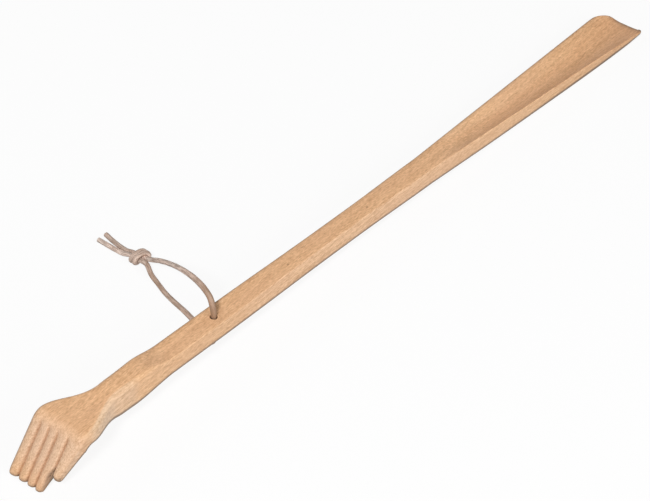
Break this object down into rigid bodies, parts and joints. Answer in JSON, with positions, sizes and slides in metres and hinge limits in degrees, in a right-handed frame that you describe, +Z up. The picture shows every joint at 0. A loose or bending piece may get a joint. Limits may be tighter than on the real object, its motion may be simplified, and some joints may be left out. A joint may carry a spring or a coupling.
{
  "type": "back scratcher",
  "caption": "Wooden back scratcher with a bent five-finger hand at one end, a troughed shoehorn blade at the other, and a knotted cord loop through a hole in the shaft for hanging.",
  "frame": {"origin": "on the table under the middle of the stick, as it lies on its fingertips and on the back of the shoehorn", "axes": "+X from the hand to the shoehorn, +Y to the side where the cord lies, +Z up out of the face with the trough"},
  "size_m": [0.5252, 0.1261, 0.0386],
  "materials": {
    "beech": "sanded smooth and lightly oiled",
    "cord": "round taupe leather cord, matte"
  },
  "bodies": {
    "stick": {"stick": "beech"},
    "cord": {"cord_in_hole": "cord", "cord_front": "cord", "cord_back": "cord", "cord_knot": "cord", "cord_tail_near": "cord", "cord_tail_far": "cord"}
  },
  "joints": [
    {"name": "cord_swing", "type": "hinge", "parent": "stick", "child": "cord", "pos_m": [-0.12385, -0.00195, 0.01816], "axis": [0, 0, 1], "range_deg": [-40, 75]}
  ]
}
